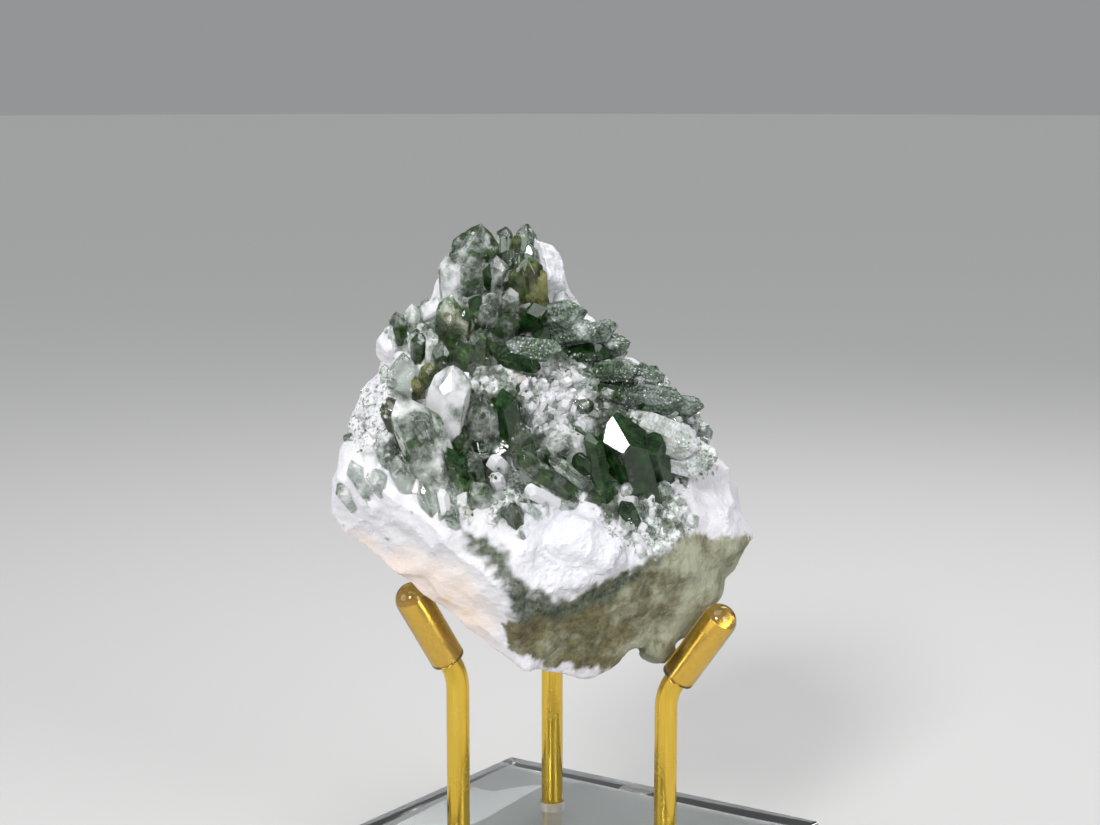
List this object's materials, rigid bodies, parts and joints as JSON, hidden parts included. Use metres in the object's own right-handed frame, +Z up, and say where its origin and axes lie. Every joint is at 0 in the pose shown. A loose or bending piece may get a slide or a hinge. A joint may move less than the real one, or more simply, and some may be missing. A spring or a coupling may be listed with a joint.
{
  "type": "chlorite quartz specimen on a stand",
  "caption": "Cluster of chlorite-green and clear quartz points on milky quartz, leaning back on the capped brass arms of a clear square display stand.",
  "frame": {"origin": "centre of the underside of the stand's base", "axes": "+Z up; the crystal face of the cluster looks along -Y, +X is to the right of a viewer who faces it"},
  "size_m": [0.0972, 0.0972, 0.1213],
  "materials": {
    "chlorite_quartz": "glassy quartz points, some milky and some green with chlorite, on broken milky quartz with a dull green chlorite crust",
    "acrylic": "clear acrylic sheet with polished edges",
    "brass": "bright lacquered brass rod",
    "vinyl": "clear soft vinyl, smooth"
  },
  "bodies": {
    "root": {"quartz_cluster": "chlorite_quartz", "stand_base": "acrylic", "rod_left": "brass", "rod_right": "brass", "rod_back": "brass", "cap_left": "vinyl", "cap_right": "vinyl", "cap_back": "vinyl"}
  },
  "joints": []
}
